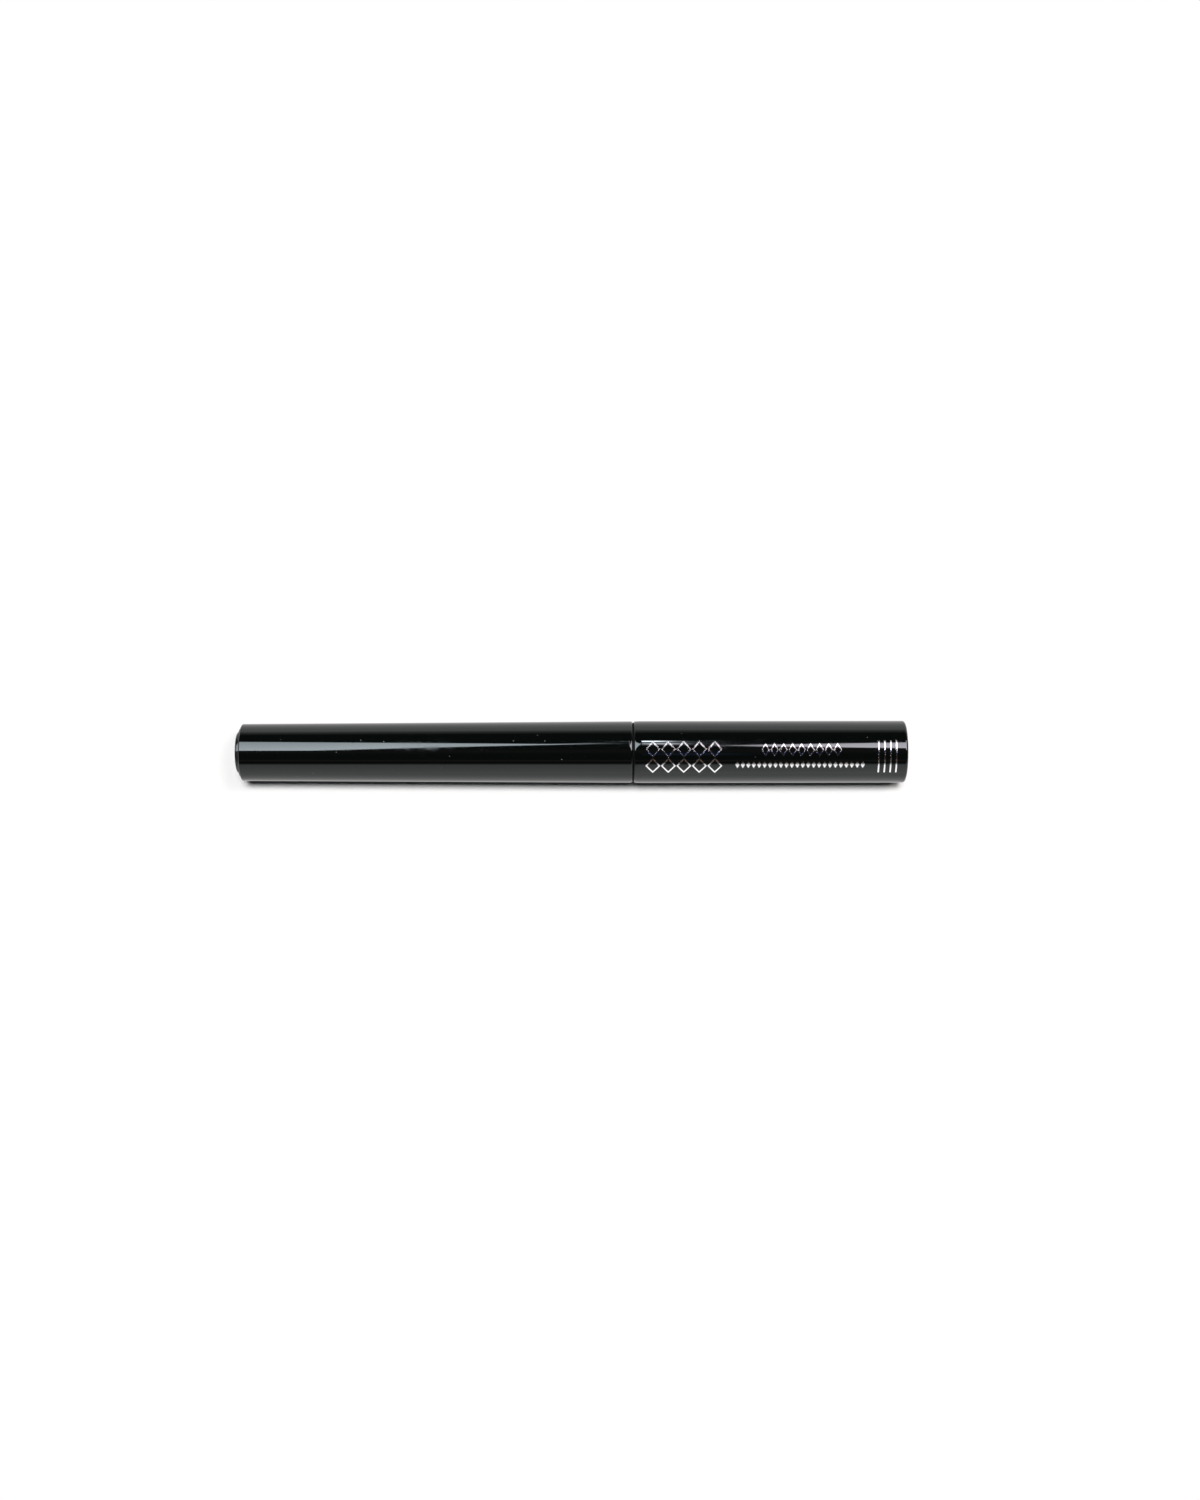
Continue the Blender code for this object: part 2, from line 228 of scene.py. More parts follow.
panel = tilt.rise(near_edge - EDGE_BLUR, near_edge + EDGE_BLUR)
panel = panel * tilt.fall(far_edge - EDGE_BLUR, far_edge + EDGE_BLUR)

CAP_FADE, BOTTLE_FADE = (-0.002, 0.038), (0.045, 0.09)
PANEL_ENDS = (0.55, 0.75)
PANEL_GLOW, GLOW_TO_BOTTLE, GLOW_LEAST = 8.4, 4.5, 3.0
glow_over_cap = to_cap.rise(*CAP_FADE) * (0.85 + 0.15 * to_cap.rise(0.06, 0.12))
glow_along = glow_over_cap * to_bottle.fall(0.0, 0.01) + to_bottle.rise(*BOTTLE_FADE)
glow_across = (1.28 - 0.012 * (tilt - near_edge)).at_least(0.7)
glow = (PANEL_GLOW + GLOW_TO_BOTTLE * along).at_least(GLOW_LEAST) * glow_across
panel = panel * glow * glow_along.at_most(1.0) * along.size().fall(*PANEL_ENDS)

# The streak beside the parting line, on the bottle's side: a narrow lamp's bright far edge, its
# fainter near edge, and a dim light between the two.
STREAK_START = (0.0122, 0.0150)
FAR_STREAK, NEAR_STREAK, BETWEEN_STREAKS = 44.0, 14.0, 1.9
streak = to_bottle.rise(*STREAK_START)
far_streak = tilt.near(39.9, 3.3) * streak * to_bottle.fall(0.026, 0.037)
near_streak = tilt.near(30.5, 3.0) * to_bottle.rise(0.018, 0.023) * to_bottle.fall(0.035, 0.044)
between = tilt.rise(24.0, 26.0) * tilt.fall(39.0, 41.0) * streak * to_bottle.fall(0.034, 0.046)
panel = panel + FAR_STREAK * far_streak + NEAR_STREAK * near_streak + BETWEEN_STREAKS * between

# The walls and the ceiling: a white wall low down all round, which stands higher on the -Y side,
# and a dark ceiling with a little warm and blue in it.
NEAR_WALL, LOW_WALL = 1.11, 0.76
NEAR_WALL_TOP, NEAR_WALL_TO_CAP = (-52.0, -42.5), 12.0
LOW_WALL_TOP = (-0.1, 0.33)
wall_glow = NEAR_WALL + (0.45 * along).at_most(0.08) - 0.16 * tilt.rise(-85.0, -50.0)
near_wall = (tilt + NEAR_WALL_TO_CAP * to_cap).fall(*NEAR_WALL_TOP) * wall_glow
wall = near_wall.at_least(LOW_WALL * upwards.fall(*LOW_WALL_TOP))
warm = 0.018 + 0.05 * tilt.near(3.0, 12.0) + 0.1 * tilt.near(-33.0, 5.0)
blue = tilt.near(-8.5, 5.5) * along.near(0.045, 0.04)

CAP_PANEL_TINT, BOTTLE_PANEL_TINT = (0.87, 0.95, 1.0, 1.0), (0.957, 0.888, 0.974, 1.0)
WALL_TINT, WARM_TINT, BLUE_TINT = (1.0, 1.0, 1.0), (1.2, 0.85, 0.75), (0.12, 0.17, 0.34)
panel_tint = sheet.mix(to_bottle.rise(0.0, 0.08), CAP_PANEL_TINT, BOTTLE_PANEL_TINT)
mirrored = sheet.sum(sheet.tinted(panel, panel_tint), sheet.tinted(wall, WALL_TINT))
mirrored = sheet.sum(mirrored, sheet.tinted(warm, WARM_TINT))
mirrored = sheet.sum(mirrored, sheet.tinted(blue, BLUE_TINT))

# What the room gives to each kind of ray: the camera sees white, the gloss sees all of the above,
# and the rest gets a faint even light.
AMBIENT = (0.012, 0.013, 0.014, 1.0)
WHITE = (1.0, 1.0, 1.0, 1.0)
ray = sheet.node("ShaderNodeLightPath")
seen = sheet.mix(ray.out("Is Glossy Ray"), AMBIENT, mirrored)
seen = sheet.mix(ray.out("Is Camera Ray"), seen, WHITE)
backdrop = sheet.node("ShaderNodeBackground", None, {"Color": seen, "Strength": 1.0})
sheet.node("ShaderNodeOutputWorld", None, {"Surface": backdrop})

# The bottle's casing: a straight tube with a closed, rounded base, moulded in black plastic and
# polished, which has worn its mouth's edge down a little. A low lip stands in the parting, its
# faces given a near-black, barely reflecting finish as painted shade for the deep gap. The vial
# is pushed into it and glued. The polish shows haze, hairlines and dust.
low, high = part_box("bottle_shell")
axis_height = (low.z + high.z) / 2
bottle_lip_x, bottle_base_x = low.x, high.x
LIP_RADIUS, LIP_LENGTH = 0.0057, 0.00025
CASING_BORE = 0.0050
BASE_THICKNESS = 0.0020
MOUTH_WEAR, MOUTH_WEAR_LENGTH = 0.000067, 0.00085
# The foil's outer face lies this far inside the part's box, and the casing this far under it.
FOIL_CLEARANCE, FOIL_STANDS_OUT = 0.000002, 0.000008
foil_radius = (high.y - low.y) / 2 - FOIL_CLEARANCE
casing_radius = foil_radius - FOIL_STANDS_OUT
bottle_mouth_x = bottle_lip_x + LIP_LENGTH
base_inside_x = bottle_base_x - BASE_THICKNESS
SHARP_EDGE = math.radians(32)
ROUNDING_STEPS = 6


def smoothed(piece):
    """Shades a piece smooth, with its real edges sharp and its broad faces true."""
    piece.data.shade_smooth()
    piece.data.set_sharp_from_angle(angle=SHARP_EDGE)
    even = piece.modifiers.new("even_gloss", "WEIGHTED_NORMAL")
    even.weight = 100
    even.keep_sharp = True


def made_piece(name, bm):
    """Closes the mesh's seams, turns its faces outwards and makes it a smooth-shaded piece."""
    bmesh.ops.remove_doubles(bm, verts=bm.verts, dist=1e-7)
    bmesh.ops.recalc_face_normals(bm, faces=bm.faces)
    mesh = bpy.data.meshes.new(name)
    bm.to_mesh(mesh)
    bm.free()
    piece = bpy.data.objects.new(name, mesh)
    bpy.context.collection.objects.link(piece)
    smoothed(piece)
    return piece


def turned(name, outline, sides):
    """A solid of revolution about the pen's axis, from points (x, radius, rounding of the edge).

    An outline that starts on the axis ends on it too. Any other one is a closed ring.
    """
    bm = bmesh.new()
    verts, rounded = [], []
    for x, radius, rounding in outline:
        verts.append(bm.verts.new((x, 0.0, axis_height - radius)))
        if rounding:
            rounded.append((verts[-1], rounding))
    closing = [] if outline[0][1] == 0.0 else verts[:1]
    for pair in zip(verts, verts[1:] + closing):
        bm.edges.new(pair)
    for vert, rounding in rounded:
        bmesh.ops.bevel(bm, geom=[vert], offset=rounding, segments=ROUNDING_STEPS, profile=0.5,
                        affect="VERTICES", material=-1)
    bmesh.ops.spin(bm, geom=bm.verts[:] + bm.edges[:], cent=(0.0, 0.0, axis_height),
                   axis=(1.0, 0.0, 0.0), angle=math.tau, steps=sides, use_merge=True)
    return made_piece(name, bm)


bottle_casing = turned("bottle_casing", [
    (base_inside_x, 0.0, 0.0),
    (base_inside_x, CASING_BORE, 0.0002),
    (bottle_lip_x, CASING_BORE, 0.00006),
    (bottle_lip_x, LIP_RADIUS, 0.00004),
    (bottle_mouth_x, LIP_RADIUS, 0.0),
    (bottle_mouth_x, casing_radius - MOUTH_WEAR, 0.00018),
    (bottle_mouth_x + MOUTH_WEAR_LENGTH, casing_radius, 0.0006),
    (bottle_base_x, casing_radius, 0.0005),
    (bottle_base_x, 0.0, 0.0),
], sides=192)


def object_place(sheet):
    """Where a point of a piece is, in the pen's own frame."""
    return sheet.node("ShaderNodeTexCoord").out("Object")


def stretched(sheet, place, factors):
    """The place with its three directions scaled, to stretch a pattern."""
    return sheet.node("ShaderNodeVectorMath", {"operation": "MULTIPLY"}, {0: place, 1: factors})


def noise(sheet, place, scale, detail=2.0, roughness=0.5):
    sockets = {"Vector": place, "Scale": scale, "Detail": detail, "Roughness": roughness}
    return sheet.node("ShaderNodeTexNoise", None, sockets)


def bump(sheet, height, distance):
    """A relief of a given depth, in metres."""
    sockets = {"Height": height, "Distance": distance, "Strength": 1.0}
    return sheet.node("ShaderNodeBump", None, sockets)


def finished(sheet, sockets):
    """Ends a material in a Principled shader."""
    surface = sheet.node("ShaderNodeBsdfPrincipled", None, sockets)
    sheet.node("ShaderNodeOutputMaterial", None, {"Surface": surface})


def dressed(piece, finish, body, slot, *nodes):
    """Gives a piece its material, the body that it moves with and the CAD nodes that it shows."""
    piece.data.materials.append(finish)
    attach(piece, body)
    if nodes:
        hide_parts(*nodes)


PLASTIC_BLACK, DUST_GREY = (0.0015, 0.0027, 0.0025, 1.0), (0.25, 0.25, 0.26, 1.0)
SMEAR_X, SMEAR_REACH = -0.0275, 0.009
polished_black = bpy.data.materials.new("polished_black")
sheet = NodeSheet(polished_black)
place = object_place(sheet)
haze = noise(sheet, stretched(sheet, place, (0.5, 1.0, 1.0)), 260.0, 4.0, 0.6).rise(0.45, 0.75)
smudges = noise(sheet, place, 700.0, 3.0, 0.6).rise(0.42, 0.62)
smear = sheet.x_of(place).near(SMEAR_X, SMEAR_REACH) * smudges
lines_along = noise(sheet, stretched(sheet, place, (0.06, 1.0, 1.0)), 14000.0, 1.0).rise(0.70, 0.76)
lines_round = noise(sheet, stretched(sheet, place, (1.0, 0.05, 0.05)), 11000.0, 1.0).rise(0.72, 0.78)
patches = noise(sheet, place, 120.0, 1.0).rise(0.5, 0.62)
hairlines = (lines_along + lines_round) * patches
specks = sheet.node("ShaderNodeTexVoronoi", None, {"Vector": place, "Scale": 650.0})
chosen = sheet.node("ShaderNodeSeparateColor", None, {0: specks.out("Color")})
dust = specks.fall(0.04, 0.085) * chosen.rise(0.78, 0.79)
waves = noise(sheet, place, 420.0, 1.0)
finished(sheet, {
    "Base Color": sheet.mix(dust * 0.6, PLASTIC_BLACK, DUST_GREY),
    "Roughness": 0.04 + 0.035 * haze + 0.07 * smear + 0.12 * hairlines.at_most(1.0) + 0.3 * dust,
    "Normal": bump(sheet, waves * 0.5 + hairlines * 0.3, 0.000001),
    "IOR": 1.5,
    "Specular Tint": (0.94, 0.99, 1.0, 1.0),
})
dressed(bottle_casing, polished_black, "bottle", "bottle_casing", "bottle_shell")

# Painted shade: a near-black finish that barely reflects, laid deep in the parting so that the gap
# between the casings renders dark.
parting_shade_black = bpy.data.materials.new("parting_shade_black")
sheet = NodeSheet(parting_shade_black)
finished(sheet, {
    "Base Color": (0.0012, 0.0012, 0.0013, 1.0),
    "Roughness": 0.45 + 0.2 * noise(sheet, object_place(sheet), 2400.0),
    "Specular IOR Level": 0.08,
})
SHADE_RIM = 0.00009
SHADE_SLACK = 0.00001


def paint_parting_shade(casing, from_x, to_x, reach):
    """Painted shade: the faces between two places, inside a radius, get a near-black dull finish."""
    casing.data.materials.append(parting_shade_black)
    for face in casing.data.polygons:
        from_axis = math.hypot(face.center.y, face.center.z - axis_height)
        if from_x - SHADE_SLACK < face.center.x < to_x + SHADE_SLACK and from_axis < reach:
            face.material_index = 1


# The bottle's lip, in the parting, gets the painted shade.
paint_parting_shade(bottle_casing, bottle_lip_x, bottle_mouth_x, LIP_RADIUS + SHADE_RIM)

# The foil on the bottle: a hot-stamped silver print, two hundredths of a millimetre thick. It has
# four bars near the base, a trellis of lozenges near the mouth, and between them a row of small
# lozenges over a line of beads.
FOIL_THICKNESS = 0.00002
WARM_SILVER, COOL_SILVER = (0.97, 0.95, 0.94, 1.0), (0.93, 0.95, 0.98, 1.0)
# In degrees about the pen's axis: where the foil is bluest, a painted reflection tint, and between
# which angles it turns grey, painted shade that dims its mirror of the bright panel on its +Y side.
REFLECTED_BLUE_SILVER, REFLECTED_BLUE_ANGLE, REFLECTED_BLUE_REACH = (0.44, 0.58, 1.0, 1.0), -1.0, 5.0
PANEL_SHADE_SILVER, PANEL_SHADE_FROM, PANEL_SHADE_TO = (0.34, 0.33, 0.33, 1.0), 3.0, 7.0


def across_axis(sheet, place):
    """How far a point lies from the pen's axis, to +Y and upwards."""
    x = sheet.x_of(place)
    return x.out("Y"), x.out("Z") - axis_height


holo_silver = bpy.data.materials.new("holo_silver")
sheet = NodeSheet(holo_silver)
place = object_place(sheet)
side, height = across_axis(sheet, place)
angle = side.angle_to(height)
sheen = noise(sheet, stretched(sheet, place, (0.1, 1.0, 1.0)), 2200.0)
grain = noise(sheet, place, 9000.0)
silver = sheet.mix(sheen.rise(0.4, 0.6), WARM_SILVER, COOL_SILVER)
# Painted reflection: a blue tint in a band near the top of the foil.
silver = sheet.mix(angle.near(REFLECTED_BLUE_ANGLE, REFLECTED_BLUE_REACH), silver, REFLECTED_BLUE_SILVER)
# Painted shade: the foil turns grey on its +Y side, which dims its mirror of the bright panel.
silver = sheet.mix(angle.rise(PANEL_SHADE_FROM, PANEL_SHADE_TO), silver, PANEL_SHADE_SILVER)
finished(sheet, {
    "Base Color": silver,
    "Metallic": 1.0,
    "Roughness": 0.12 + 0.06 * grain,
    "Normal": bump(sheet, grain, 0.00000012),
})


def stamped(name, bm):
    """Gives flat faces on (x, arc length) the foil's thickness and lays them round the casing."""
    grown = bmesh.ops.extrude_face_region(bm, geom=bm.faces[:])["geom"]
    lifted = [item for item in grown if isinstance(item, bmesh.types.BMVert)]
    bmesh.ops.translate(bm, verts=lifted, vec=(0.0, 0.0, FOIL_THICKNESS))
    for vert in bm.verts:
        turn = vert.co.y / foil_radius
        reach = foil_radius - FOIL_THICKNESS + vert.co.z
        vert.co = (vert.co.x, reach * math.sin(turn), axis_height + reach * math.cos(turn))
    dressed(made_piece(name, bm), holo_silver, "bottle", "foil_print")


def arc_length(degrees):
    """How far an angle reaches round the foil, from the top of the bottle."""
    return math.radians(degrees) * foil_radius


def flat_place(middle_x, middle_arc, width, height):
    """Moves and sizes a flat shape that is 1 across."""
    middle = Matrix.Translation((middle_x, middle_arc, 0.0))
    return middle @ Matrix.Diagonal((width, height, 1.0, 1.0))


def lozenge(bm, middle_x, middle_angle, width, height, cuts):
    """A flat lozenge that stands on a corner, cut so that it can be bent."""
    place = flat_place(middle_x, arc_length(middle_angle), width, height)
    circle = bmesh.ops.create_circle(bm, cap_ends=True, segments=4, radius=0.5, matrix=place)
    sides = circle["verts"][0].link_faces[0].edges[:]
    bmesh.ops.subdivide_edges(bm, edges=sides, cuts=cuts, use_grid_fill=True)


def lozenge_frame(bm, middle_x, middle_angle, width, height, rim, cuts):
    """The frame of a lozenge, as broad as rim all round."""
    inner_size = 1 - rim * 2 * math.hypot(width, height) / (width * height)
    loops = []
    for size in (1.0, inner_size):
        before = set(bm.edges)
        place = flat_place(middle_x, arc_length(middle_angle), width * size, height * size)
        bmesh.ops.create_circle(bm, cap_ends=False, segments=4, radius=0.5, matrix=place)
        sides = [edge for edge in bm.edges if edge not in before]
        bmesh.ops.subdivide_edges(bm, edges=sides, cuts=cuts)
        loops += [edge for edge in bm.edges if edge not in before]
    bmesh.ops.bridge_loops(bm, edges=loops)


def spaced(start_x, step, count):
    """The middles of places that follow one another along the pen."""
    return [start_x + step * (number + 0.5) for number in range(count)]


BARS_X = (0.05879, 0.05993, 0.06106, 0.06216)
BAR_WIDTH, BAR_CUTS = 0.00027, 28
bars_low, bars_high = arc_length(-41.0), arc_length(21.3)
bm = bmesh.new()
for bar_x in BARS_X:
    bar_place = flat_place(bar_x, (bars_low + bars_high) / 2, BAR_WIDTH, bars_high - bars_low)
    bmesh.ops.create_grid(bm, x_segments=1, y_segments=BAR_CUTS, size=0.5, matrix=bar_place)
stamped("foil_bars", bm)

TRELLIS_X, TRELLIS_STEP, TRELLIS_LINKS = 0.0142, 0.00296, 5
TRELLIS_ANGLES = (-26.2, 5.2)
LINK_GAP, LINK_RIM, LINK_CUTS = 0.0001, 0.00026, 11
link_width, link_height = TRELLIS_STEP - LINK_GAP, arc_length(31.0)
bm = bmesh.new()
for link_x in spaced(TRELLIS_X, TRELLIS_STEP, TRELLIS_LINKS):
    for link_angle in TRELLIS_ANGLES:
        lozenge_frame(bm, link_x, link_angle, link_width, link_height, LINK_RIM, LINK_CUTS)
stamped("foil_trellis", bm)

ROW_X, ROW_STEP, ROW_FRAMES = 0.0363, 0.00172, 9
ROW_ANGLE = 3.8
FRAME_WIDTH, FRAME_HEIGHT = 0.0016, 0.0025
FRAME_RIM, FRAME_CUTS = 0.00016, 9
bm = bmesh.new()
for frame_x in spaced(ROW_X, ROW_STEP, ROW_FRAMES):
    lozenge_frame(bm, frame_x, ROW_ANGLE, FRAME_WIDTH, FRAME_HEIGHT, FRAME_RIM, FRAME_CUTS)
stamped("foil_row", bm)

BEADS_X, BEADS_STEP, BEADS = 0.0313, 0.00104, 24
BEADS_ANGLE = -24.3
BEAD_WIDTH, BEAD_HEIGHT, BEAD_CUTS = 0.0008, 0.0014, 6
bm = bmesh.new()
for bead_x in spaced(BEADS_X, BEADS_STEP, BEADS):
    lozenge(bm, bead_x, BEADS_ANGLE, BEAD_WIDTH, BEAD_HEIGHT, BEAD_CUTS)
stamped("foil_beads", bm)

# The vial: the container that holds the liquid, blow-moulded in black plastic with a collar and a
# neck. A screw thread of one and a half turns stands on the neck.
low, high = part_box("vial")
neck_end_x, vial_end_x = low.x, high.x
VIAL_RADIUS, WELL_RADIUS = 0.0047, 0.0039
VIAL_BASE_THICKNESS = 0.0010
SHOULDER_START_X, SHOULDER_END_X = 0.0118, 0.0133
COLLAR_X = 0.0109
NECK_RADIUS, NECK_BORE = 0.0033, 0.0024
WIPER_SEAT_RADIUS, WIPER_SEAT_DEPTH = 0.0029, 0.0009
well_end_x = vial_end_x - VIAL_BASE_THICKNESS
wiper_seat_x = neck_end_x + WIPER_SEAT_DEPTH
vial_body = turned("vial_body", [
    (well_end_x, 0.0, 0.0),
    (well_end_x, WELL_RADIUS, 0.0012),
    (SHOULDER_END_X, WELL_RADIUS, 0.0004),
    (SHOULDER_START_X, NECK_BORE, 0.0004),
    (wiper_seat_x, NECK_BORE, 0.00006),
    (wiper_seat_x, WIPER_SEAT_RADIUS, 0.00006),
    (neck_end_x, WIPER_SEAT_RADIUS, 0.00008),
    (neck_end_x, NECK_RADIUS, 0.00015),
    (COLLAR_X, NECK_RADIUS, 0.00020),
    (COLLAR_X, VIAL_RADIUS, 0.00015),
    (vial_end_x, VIAL_RADIUS, 0.0012),
    (vial_end_x, 0.0, 0.0),
], sides=128)

THREAD_LEAD, THREAD_HEIGHT = 0.0015, 0.00038
THREAD_SIDES = 128
# Half the ridge's breadth at its foot, near its crest and on its crest.
RIDGE_FOOT, RIDGE_SHOULDER, RIDGE_CREST = 0.0004, 0.00022, 0.00014
# Shares of the ridge's height: where its shoulder is, and how deep its foot goes into the wall.
SHOULDER_SHARE, SUNK_SHARE = 0.7, 0.4
# Over how many steps the ridge runs out at each end, and the share of its height that it loses.
RUN_OUT_STEPS, RUN_OUT_DEPTH = 18, 1.02
NECK_THREAD_X, NECK_THREAD_TURNS = 0.0054, 1.5


def thread_ridge(root_radius, crest_radius, start_x, turns):
    """A right-handed ridge that winds along the pen and runs out into its wall at both ends."""
    shoulder_radius = root_radius * (1 - SHOULDER_SHARE) + crest_radius * SHOULDER_SHARE
    profile = [
        (-RIDGE_FOOT, root_radius - (crest_radius - root_radius) * SUNK_SHARE),
        (-RIDGE_FOOT, root_radius),
        (-RIDGE_SHOULDER, shoulder_radius),
        (-RIDGE_CREST, crest_radius),
    ]
    profile += [(-x, radius) for x, radius in reversed(profile)]
    bm = bmesh.new()
    verts = [bm.verts.new((start_x + x, 0.0, axis_height - radius)) for x, radius in profile]
    for pair in zip(verts, verts[1:] + verts[:1]):
        bm.edges.new(pair)
    steps = round(turns * THREAD_SIDES)
    bmesh.ops.spin(bm, geom=bm.verts[:] + bm.edges[:], cent=(0.0, 0.0, axis_height),
                   axis=(1.0, 0.0, 0.0), dvec=(THREAD_LEAD / THREAD_SIDES, 0.0, 0.0),
                   angle=turns * math.tau, steps=steps)
    # The rings of the spin follow one another, each with the profile's points in their order.
    for index, vert in enumerate(bm.verts):
        step, point = divmod(index, len(profile))
        radius = profile[point][1]
        share = min(1.0, step / RUN_OUT_STEPS, (steps - step) / RUN_OUT_STEPS)
        if (radius - root_radius) * (crest_radius - root_radius) > 0.0:
            outwards = Vector((0.0, vert.co.y, vert.co.z - axis_height)).normalized()
            vert.co += outwards * (root_radius - radius) * (1.0 - share) * RUN_OUT_DEPTH
    bmesh.ops.holes_fill(bm, edges=bm.edges, sides=len(profile))
    return made_piece("ridge", bm)


def fused(piece, ridge):
    """Joins a ridge with the wall that it stands on."""
    piece.modifiers.clear()
    union = piece.modifiers.new("thread", "BOOLEAN")
    union.operation = "UNION"
    union.solver = "EXACT"
    union.object = ridge
    shape = piece.evaluated_get(bpy.context.evaluated_depsgraph_get())
    piece.data = bpy.data.meshes.new_from_object(shape)
    piece.modifiers.clear()
    bpy.data.objects.remove(ridge)
    smoothed(piece)


neck_crest = NECK_RADIUS + THREAD_HEIGHT
fused(vial_body, thread_ridge(NECK_RADIUS, neck_crest, NECK_THREAD_X, NECK_THREAD_TURNS))

satin_black = bpy.data.materials.new("satin_black")
sheet = NodeSheet(satin_black)
place = object_place(sheet)
texture = noise(sheet, place, 9000.0, 3.0, 0.6)
flow = noise(sheet, stretched(sheet, place, (1.0, 0.15, 0.15)), 900.0)
cloud = noise(sheet, place, 300.0)
finished(sheet, {
    "Base Color": sheet.mix(cloud, (0.009, 0.009, 0.010, 1.0), (0.016, 0.016, 0.017, 1.0)),
    "Roughness": 0.24 + 0.14 * cloud + 0.06 * flow,
    "Normal": bump(sheet, texture * 0.6 + flow * 0.4, 0.000004),
    "IOR": 1.5,
})
dressed(vial_body, satin_black, "bottle", "vial_moulding", "vial")

# The wiper: a sleeve of soft natural plastic, pressed into the neck. Its flange lies in the neck's
# mouth and its narrow end strips the rod, so the liquid has stained its bore.
low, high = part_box("wiper")
wiper_mouth_x, wiper_end_x = low.x, high.x
WIPER_RADIUS, WIPER_BORE = 0.0021, 0.0017
FLANGE_RADIUS, FLANGE_BORE, FLANGE_THICKNESS = 0.0026, 0.00185, 0.0006
WIPER_LIP_RADIUS, WIPER_LIP_BORE, WIPER_LIP_LENGTH = 0.0018, 0.0014, 0.0020
flange_x = wiper_mouth_x + FLANGE_THICKNESS
wiper_lip_x = wiper_end_x - WIPER_LIP_LENGTH
wiper_sleeve = turned("wiper_sleeve", [
    (wiper_mouth_x, FLANGE_BORE, 0.0001),
    (wiper_mouth_x, FLANGE_RADIUS, 0.00012),
    (flange_x, FLANGE_RADIUS, 0.0001),
    (flange_x, WIPER_RADIUS, 0.0001),
    (wiper_lip_x, WIPER_RADIUS, 0.0001),
    (wiper_end_x, WIPER_LIP_RADIUS, 0.0001),
    (wiper_end_x, WIPER_LIP_BORE, 0.0001),
    (wiper_lip_x, WIPER_BORE, 0.0002),
    (flange_x, WIPER_BORE, 0.0001),
], sides=96)

LIQUID_BLACK = (0.004, 0.004, 0.005, 1.0)


def liquid_stain(sheet, place, smear, raggedness, black_to, clean_from):
    """1 near the axis, where liquid has stained a piece, 0 further out, with a ragged edge."""
    side, height = across_axis(sheet, place)
    radius = (side * side + height * height).root()
    return (radius + raggedness * (smear - 0.5)).fall(black_to, clean_from)


natural_soft = bpy.data.materials.new("natural_soft")
sheet = NodeSheet(natural_soft)
place = object_place(sheet)
smear = noise(sheet, place, 2400.0, 3.0)
stain = liquid_stain(sheet, place, smear, raggedness=0.0006, black_to=0.00180, clean_from=0.00198)
cloud = noise(sheet, place, 700.0)
plain = sheet.mix(cloud, (0.58, 0.58, 0.54, 1.0), (0.66, 0.66, 0.62, 1.0))
finished(sheet, {
    "Base Color": sheet.mix(stain, plain, LIQUID_BLACK),
    "Roughness": 0.42 - 0.30 * stain + 0.08 * cloud,
    "Normal": bump(sheet, smear, 0.000006),
    "IOR": 1.48,
    "Subsurface Weight": 0.12,
    "Subsurface Radius": (0.0006, 0.0006, 0.0005),
    "Subsurface Scale": 1.0,
})
dressed(wiper_sleeve, natural_soft, "bottle", "wiper_soft", "wiper")

# The seal washer: a flat ring punched from soft foam sheet, squeezed between the neck's end and
# the inner cap. The liquid has stained it round its hole.
low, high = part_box("seal_washer")
WASHER_RADIUS, WASHER_BORE = 0.0034, 0.0015
washer_ring = turned("washer_ring", [
    (low.x, WASHER_BORE, 0.00008),
    (low.x, WASHER_RADIUS, 0.00012),
    (high.x, WASHER_RADIUS, 0.00012),
    (high.x, WASHER_BORE, 0.00008),
], sides=96)

washer_foam = bpy.data.materials.new("washer_foam")
sheet = NodeSheet(washer_foam)
place = object_place(sheet)
smear = noise(sheet, place, 2400.0, 3.0)
stain = liquid_stain(sheet, place, smear, raggedness=0.0009, black_to=0.00190, clean_from=0.00215)
cells = sheet.node("ShaderNodeTexVoronoi", None, {"Vector": place, "Scale": 9000.0})
plain = sheet.mix(cells, (0.66, 0.66, 0.62, 1.0), (0.52, 0.52, 0.48, 1.0))
finished(sheet, {
    "Base Color": sheet.mix(stain, plain, LIQUID_BLACK),
    "Roughness": 0.62 - 0.42 * stain,
    "Normal": bump(sheet, cells * (1 - stain), 0.00001),
    "IOR": 1.48,
})
dressed(washer_ring, washer_foam, "seal_washer", "washer_foam", "seal_washer")

# The brush: several hundred fine black fibres, bound at the root in the holder's hole. They swell
# to a slight belly and come together in a point. Each fibre tapers to its own tip.
low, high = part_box("bristles")
tuft_root_x, tuft_tip_x = low.x, high.x
holder_end_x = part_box("brush_holder")[1].x
TUFT_ROOT, TUFT_BELLY, TUFT_TIP = 0.00042, 0.00070, 0.00003
BELLY_SHARE = 0.25
FIBRES = 380
FIBRE_RADIUS, FIBRE_SIDES, FIBRE_STEPS = 0.000032, 5, 9
TAPER, TAPER_START, TAPER_LENGTH = 0.85, 0.55, 0.45
GOLDEN_ANGLE, TURN_SCATTER = 2.39996, 0.2
OUTER_TIPS_SHORTER, TIP_SCATTER = 0.0016, 0.0002


def tuft_radius(x):
    """How far out the tuft's outer fibres lie."""
    share = (x - holder_end_x) / (tuft_tip_x - holder_end_x)
    if share <= 0.0:
        return TUFT_ROOT
    if share < BELLY_SHARE:
        return TUFT_ROOT + (TUFT_BELLY - TUFT_ROOT) * math.sin(0.5 * math.pi * share / BELLY_SHARE)
    closing = math.cos(0.5 * math.pi * (share - BELLY_SHARE) / (1 - BELLY_SHARE))
    return TUFT_TIP + (TUFT_BELLY - TUFT_TIP) * closing


